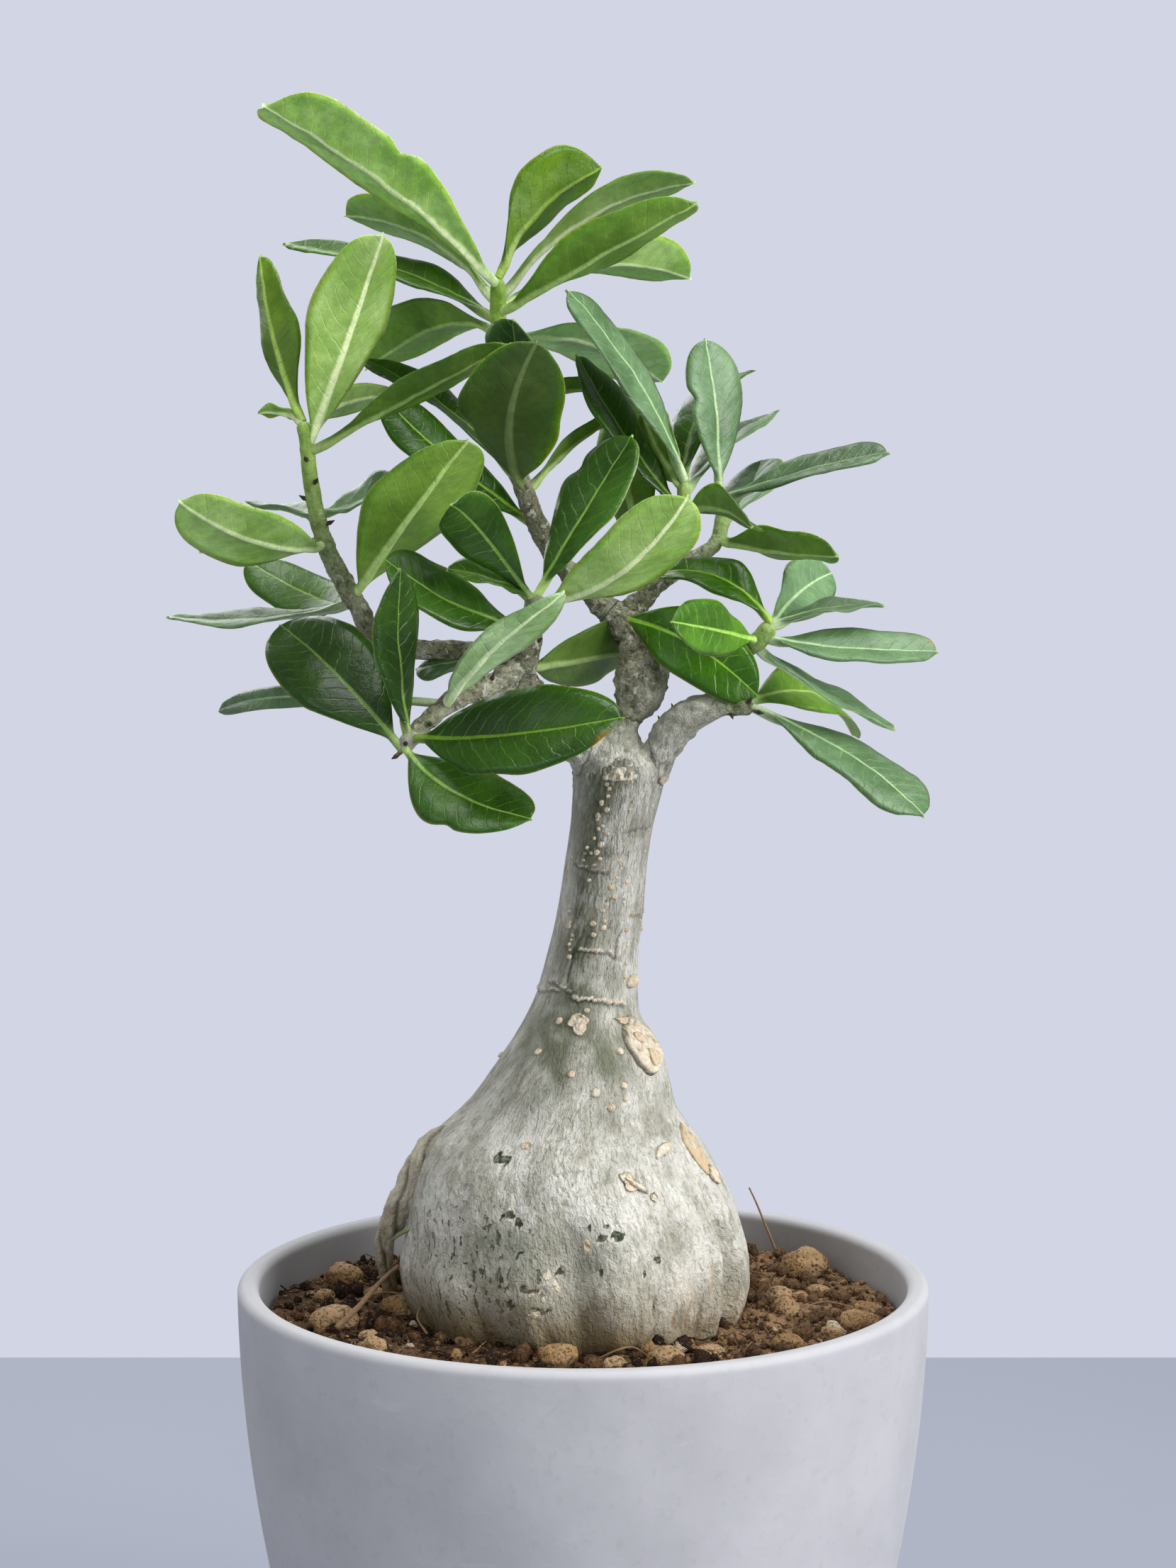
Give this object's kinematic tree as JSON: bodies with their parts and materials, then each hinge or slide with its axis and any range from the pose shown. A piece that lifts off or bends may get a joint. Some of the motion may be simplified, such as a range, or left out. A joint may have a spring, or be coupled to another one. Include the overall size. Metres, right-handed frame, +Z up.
{
  "type": "potted desert rose plant",
  "caption": "Desert rose with a swollen base, short pale trunk, forked stems and leathery paddle leaves, rooted in soil with pumice lumps in a tapered stone-grey planter.",
  "frame": {"origin": "middle of the pot's flat underside", "axes": "+Z up out of the pot, -Y towards the side with the most leaf faces, +X to the right seen from there"},
  "size_m": [0.2207, 0.2, 0.5074],
  "materials": {
    "pot_stone": "matte stone-like grey, faintly mottled, slightly paler rim",
    "soil": "dark brown crumbly potting mix, dull",
    "bark": "pale grey-green bark with fine cracks and leaf scars, browner near the soil",
    "leaf": "leathery green blade, glossy above and paler below, with a light midrib",
    "pumice": "porous tan stone, dull"
  },
  "bodies": {
    "root": {"pot": "pot_stone", "soil": "soil", "plant_body": "bark", "pumice_1": "pumice", "pumice_2": "pumice", "pumice_3": "pumice", "pumice_4": "pumice", "pumice_5": "pumice", "leaf_lowRight_1": "leaf", "leaf_lowRight_2": "leaf", "leaf_lowRight_3": "leaf", "leaf_right_1": "leaf", "leaf_right_2": "leaf", "leaf_right_3": "leaf", "leaf_right_4": "leaf", "leaf_right_5": "leaf", "leaf_lowLeft_1": "leaf", "leaf_lowLeft_2": "leaf", "leaf_lowLeft_3": "leaf", "leaf_lowLeft_4": "leaf", "leaf_lowLeft_5": "leaf", "leaf_lowLeft_6": "leaf", "leaf_heart_1": "leaf", "leaf_heart_2": "leaf", "leaf_heart_3": "leaf", "leaf_heart_4": "leaf", "leaf_heart_5": "leaf", "leaf_left_1": "leaf", "leaf_left_2": "leaf", "leaf_left_3": "leaf", "leaf_left_4": "leaf", "leaf_left_5": "leaf", "leaf_left_6": "leaf", "leaf_left_7": "leaf", "leaf_left_8": "leaf", "leaf_left_9": "leaf", "leaf_crown_1": "leaf", "leaf_crown_2": "leaf", "leaf_crown_3": "leaf", "leaf_crown_4": "leaf", "leaf_crown_5": "leaf", "leaf_crown_6": "leaf", "leaf_crown_7": "leaf", "leaf_crown_8": "leaf", "leaf_crown_9": "leaf", "leaf_crown_10": "leaf", "leaf_crown_11": "leaf", "leaf_crown_12": "leaf", "leaf_crown_13": "leaf", "leaf_crown_14": "leaf", "leaf_shoulder_1": "leaf", "leaf_shoulder_2": "leaf", "leaf_shoulder_3": "leaf", "leaf_shoulder_4": "leaf", "leaf_shoulder_5": "leaf", "leaf_spur_1": "leaf", "leaf_spur_2": "leaf", "leaf_spur_3": "leaf", "leaf_spur_4": "leaf", "leaf_spur_5": "leaf"}
  },
  "joints": []
}
